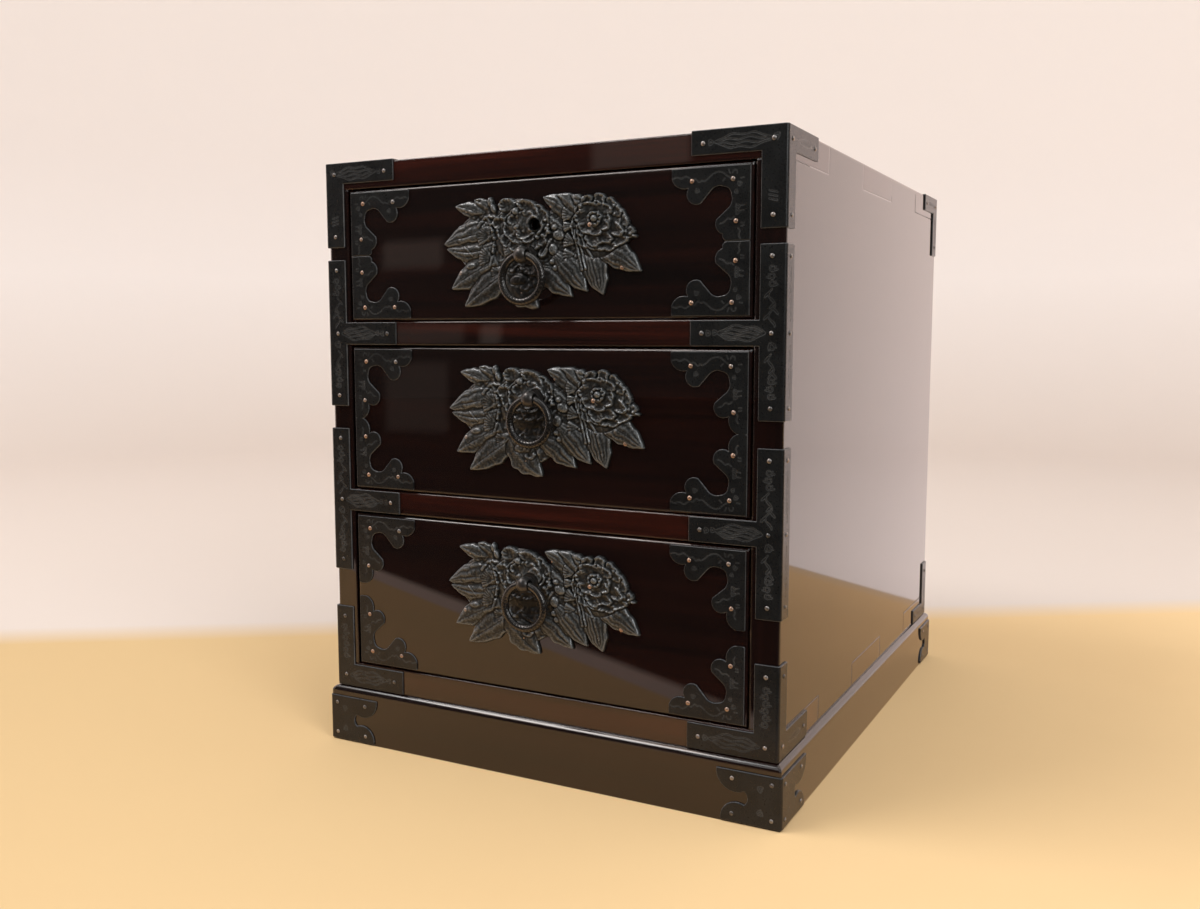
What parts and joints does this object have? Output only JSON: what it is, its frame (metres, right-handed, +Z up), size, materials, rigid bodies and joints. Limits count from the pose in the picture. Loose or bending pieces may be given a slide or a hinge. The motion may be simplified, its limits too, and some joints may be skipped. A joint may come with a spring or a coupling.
{
  "type": "clothing chest",
  "caption": "Small lacquered East Asian clothing chest on a plinth, with iron straps, relief plates, ring pulls, sliding drawers and a lock.",
  "frame": {"origin": "on the floor under the middle of the whole chest", "axes": "+Z up, the drawers face -Y, +X to the right seen from the front"},
  "size_m": [0.3726, 0.4682, 0.4445],
  "materials": {
    "lacquered_wood": "very dark red-brown transparent lacquer, polished",
    "bare_wood": "planed pale wood",
    "black_iron": "blackened forged iron, satin, engraved",
    "relief_iron": "embossed gunmetal-grey iron, satin",
    "ring_iron": "smooth blackened iron, worn bright",
    "nail_iron": "round nail heads, slightly coppery where worn",
    "lock_steel": "brushed"
  },
  "bodies": {
    "case": {"back_panel": "lacquered_wood", "bottom_board": "lacquered_wood", "case_nails": "nail_iron", "drawer_stops": "bare_wood", "left_bottom_corner_iron": "black_iron", "left_lower_t_iron": "black_iron", "left_side_board": "lacquered_wood", "left_top_corner_iron": "black_iron", "left_upper_t_iron": "black_iron", "lower_dust_board": "bare_wood", "lower_rail": "lacquered_wood", "plinth_back_board": "lacquered_wood", "plinth_front_board": "lacquered_wood", "plinth_front_corner_irons": "black_iron", "plinth_left_board": "lacquered_wood", "plinth_rear_corner_irons": "black_iron", "plinth_right_board": "lacquered_wood", "rear_bottom_corner_irons": "black_iron", "rear_top_corner_irons": "black_iron", "right_bottom_corner_iron": "black_iron", "right_lower_t_iron": "black_iron", "right_side_board": "lacquered_wood", "right_top_corner_iron": "black_iron", "right_upper_t_iron": "black_iron", "top_board": "lacquered_wood", "upper_dust_board": "bare_wood", "upper_rail": "lacquered_wood"},
    "top_drawer": {"top_drawer_back": "bare_wood", "top_drawer_corner_irons": "black_iron", "top_drawer_fixings": "nail_iron", "top_drawer_floor": "bare_wood", "top_drawer_front": "lacquered_wood", "top_drawer_left_side": "bare_wood", "top_drawer_relief_plate": "relief_iron", "top_drawer_right_side": "bare_wood", "top_drawer_ring_post": "ring_iron", "lock_back_plate": "lock_steel", "lock_case": "lock_steel"},
    "top_ring": {"top_drawer_ring_pull": "ring_iron"},
    "middle_drawer": {"middle_drawer_back": "bare_wood", "middle_drawer_corner_irons": "black_iron", "middle_drawer_fixings": "nail_iron", "middle_drawer_floor": "bare_wood", "middle_drawer_front": "lacquered_wood", "middle_drawer_left_side": "bare_wood", "middle_drawer_relief_plate": "relief_iron", "middle_drawer_right_side": "bare_wood", "middle_drawer_ring_post": "ring_iron"},
    "middle_ring": {"middle_drawer_ring_pull": "ring_iron"},
    "bottom_drawer": {"bottom_drawer_back": "bare_wood", "bottom_drawer_corner_irons": "black_iron", "bottom_drawer_fixings": "nail_iron", "bottom_drawer_floor": "bare_wood", "bottom_drawer_front": "lacquered_wood", "bottom_drawer_left_side": "bare_wood", "bottom_drawer_relief_plate": "relief_iron", "bottom_drawer_right_side": "bare_wood", "bottom_drawer_ring_post": "ring_iron"},
    "bottom_ring": {"bottom_drawer_ring_pull": "ring_iron"},
    "lock_bolt": {"lock_bolt": "lock_steel"}
  },
  "joints": [
    {"name": "top_drawer_slide", "type": "slide", "parent": "case", "child": "top_drawer", "axis": [0, -1, 0], "range_m": [0, 0.36]},
    {"name": "top_ring_swing", "type": "hinge", "parent": "top_drawer", "child": "top_ring", "pos_m": [-0.0015, -0.22835, 0.3708], "axis": [-1, 0, 0], "range_deg": [0, 165]},
    {"name": "middle_drawer_slide", "type": "slide", "parent": "case", "child": "middle_drawer", "axis": [0, -1, 0], "range_m": [0, 0.36]},
    {"name": "middle_ring_swing", "type": "hinge", "parent": "middle_drawer", "child": "middle_ring", "pos_m": [0.0036, -0.22835, 0.27355], "axis": [-1, 0, 0], "range_deg": [0, 165]},
    {"name": "bottom_drawer_slide", "type": "slide", "parent": "case", "child": "bottom_drawer", "axis": [0, -1, 0], "range_m": [0, 0.36]},
    {"name": "bottom_ring_swing", "type": "hinge", "parent": "bottom_drawer", "child": "bottom_ring", "pos_m": [-0.0016, -0.22835, 0.1441], "axis": [-1, 0, 0], "range_deg": [0, 165]},
    {"name": "lock_bolt_slide", "type": "slide", "parent": "top_drawer", "child": "lock_bolt", "axis": [0, 0, 1], "range_m": [0, 0.006]}
  ]
}
